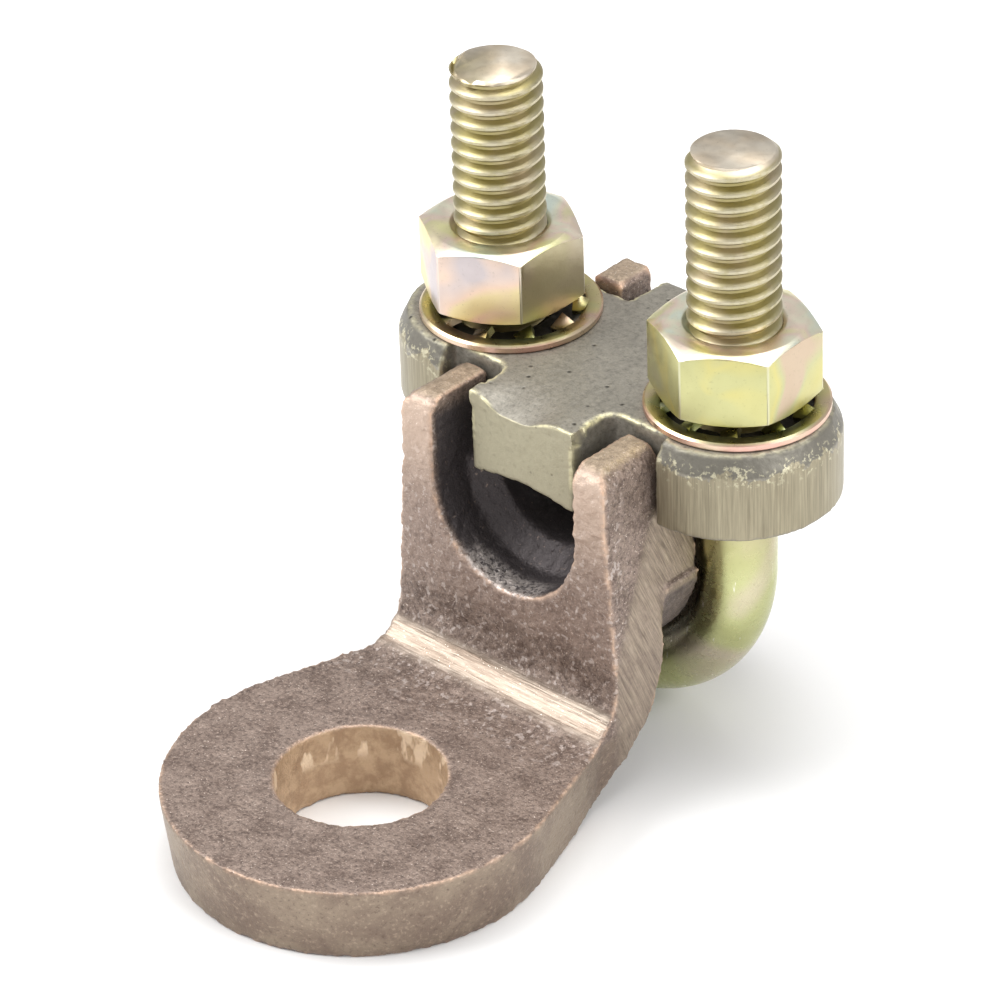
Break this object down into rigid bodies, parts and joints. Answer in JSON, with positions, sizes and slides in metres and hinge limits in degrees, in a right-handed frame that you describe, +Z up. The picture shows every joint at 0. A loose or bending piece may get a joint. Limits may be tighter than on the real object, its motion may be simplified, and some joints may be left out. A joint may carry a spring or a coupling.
{
  "type": "U-bolt clamp lug",
  "caption": "Cast copper-alloy lug with a round one-hole palm, an upright saddle, and a keeper drawn down on a conductor by a nutted U-bolt.",
  "frame": {"origin": "centre of the palm's bolt hole, on the palm's underside", "axes": "+Z up along the hole and the studs, +Y along the conductor from the palm to the studs, +X from the left stud to the right one"},
  "size_m": [0.044, 0.0624, 0.0565],
  "materials": {
    "lug_casting": "as-cast copper alloy, linished on its edges",
    "keeper_casting": "as-cast copper alloy, ground on its sides",
    "plated_rod": "yellow passivated zinc plate",
    "plated_nut": "pale iridescent zinc plate",
    "plated_washer": "yellow passivated zinc plate"
  },
  "bodies": {
    "lug": {"lug_body": "lug_casting"},
    "bolt": {"u_bolt": "plated_rod"},
    "keeper": {"keeper": "keeper_casting", "washer_left": "plated_washer", "washer_right": "plated_washer"},
    "nut_left": {"nut_left": "plated_nut"},
    "nut_right": {"nut_right": "plated_nut"}
  },
  "joints": [
    {"name": "bolt_float", "type": "slide", "parent": "lug", "child": "bolt", "axis": [0, 0, 1], "range_m": [0, 0.0006]},
    {"name": "keeper_lift", "type": "slide", "parent": "bolt", "child": "keeper", "axis": [0, 0, 1], "range_m": [0, 0.008]},
    {"name": "nut_left_spin", "type": "hinge", "parent": "keeper", "child": "nut_left", "pos_m": [-0.013, 0.0327, 0.034], "axis": [0, 0, 1], "range_deg": [0, 2045]},
    {"name": "nut_right_spin", "type": "hinge", "parent": "keeper", "child": "nut_right", "pos_m": [0.013, 0.0327, 0.034], "axis": [0, 0, 1], "range_deg": [0, 2045]}
  ],
  "couplings": [
    {"joint": "nut_left_spin", "follows": "keeper_lift", "rad_per_m": 4452.7},
    {"joint": "nut_right_spin", "follows": "keeper_lift", "rad_per_m": 4452.7}
  ]
}
